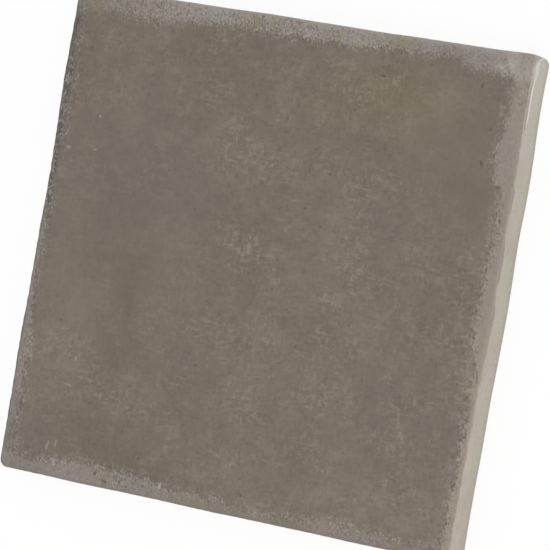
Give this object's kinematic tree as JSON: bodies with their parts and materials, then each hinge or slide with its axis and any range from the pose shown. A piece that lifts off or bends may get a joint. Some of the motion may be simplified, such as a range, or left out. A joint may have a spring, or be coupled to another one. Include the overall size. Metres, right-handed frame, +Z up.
{
  "type": "glazed terracotta floor tile",
  "caption": "Square fired-clay floor tile with a satin taupe glaze, a cushioned and worn pale edge, bare clay sides and a keyed back for mortar.",
  "frame": {"origin": "centre of the back, on the plane the tile rests on", "axes": "+Z up through the glazed face; +X towards the side whose bare clay edge shows in the picture; +Y towards the top of the picture"},
  "size_m": [0.15, 0.15, 0.015],
  "materials": {
    "glazed_clay": "satin"
  },
  "bodies": {
    "root": {"floor_tile": "glazed_clay"}
  },
  "joints": []
}
